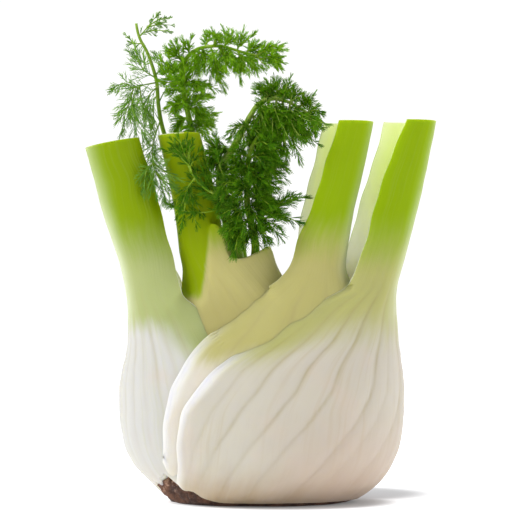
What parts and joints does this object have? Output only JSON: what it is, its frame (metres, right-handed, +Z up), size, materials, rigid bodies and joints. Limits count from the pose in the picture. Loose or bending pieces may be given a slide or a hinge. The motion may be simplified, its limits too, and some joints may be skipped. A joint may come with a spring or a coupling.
{
  "type": "fennel bulb",
  "caption": "Trimmed fennel bulb standing on its cut base, with broad ribbed sheaths wrapped over each other, short green channelled stalks cut off flat, and feathery fronds.",
  "frame": {"origin": "centre of the cut base, on the surface that the bulb stands on", "axes": "+Z up along the bulb towards the stalks and fronds; +X across the bulb to the right, towards the outermost leaf's stalk; -Y towards the viewer, so that the leaves stand side by side along X"},
  "size_m": [0.1302, 0.0799, 0.182],
  "materials": {
    "root_plate": "dry, rough brown cork with fibres",
    "leaf_outer": "smooth, slightly waxy leaf flesh, white at the foot and green along the stalk",
    "leaf_inner": "smooth, slightly waxy leaf flesh, cream at the foot and green along the stalk",
    "frond": "soft matte green leaflets"
  },
  "bodies": {
    "root": {"root_plate": "root_plate", "leaf_inner_left": "leaf_inner", "leaf_outer_left": "leaf_outer", "leaf_inner_right": "leaf_outer", "leaf_outer_right": "leaf_outer", "frond_tall": "frond", "frond_arching": "frond", "frond_bushy": "frond", "frond_low": "frond"}
  },
  "joints": []
}
